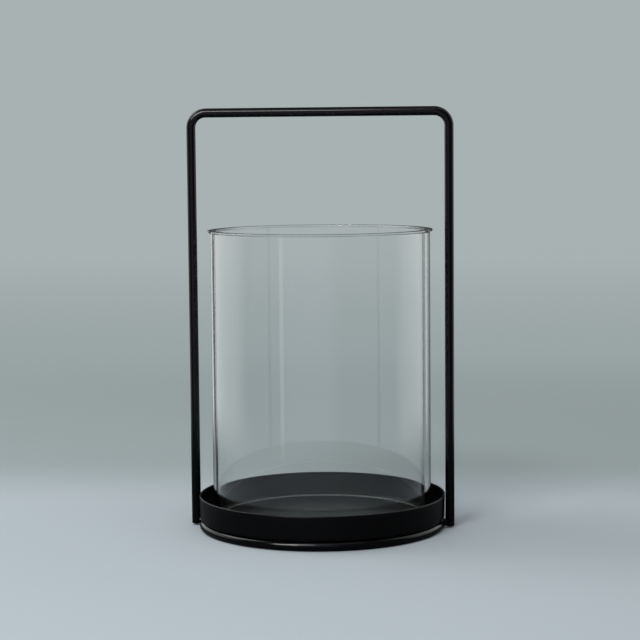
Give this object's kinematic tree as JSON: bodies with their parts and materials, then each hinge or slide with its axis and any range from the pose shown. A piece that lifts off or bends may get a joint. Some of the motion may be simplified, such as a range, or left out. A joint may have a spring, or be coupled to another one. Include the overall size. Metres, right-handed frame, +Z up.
{
  "type": "hurricane candle lantern",
  "caption": "Hurricane lantern: an open glass cylinder stands in a shallow round metal tray, carried by a base ring and a square arch handle of bent round bar.",
  "frame": {"origin": "on the table under the middle of the base ring", "axes": "+Z up, +X along the handle's bar, +Y square to the handle, away from the pictured front"},
  "size_m": [0.1854, 0.1726, 0.2928],
  "materials": {
    "frame_black": "satin black powder coat",
    "tray_black": "satin black powder coat",
    "clear_glass": "clear polished"
  },
  "bodies": {
    "frame": {"handle": "frame_black", "base_ring": "frame_black", "leg_welds": "frame_black"},
    "tray": {"candle_tray": "tray_black"},
    "glass": {"glass_cylinder": "clear_glass"}
  },
  "joints": [
    {"name": "tray_lift", "type": "slide", "parent": "frame", "child": "tray", "axis": [0, 0, 1], "range_m": [0, 0.03]},
    {"name": "glass_lift", "type": "slide", "parent": "tray", "child": "glass", "axis": [0, 0, 1], "range_m": [0, 0.045]}
  ]
}
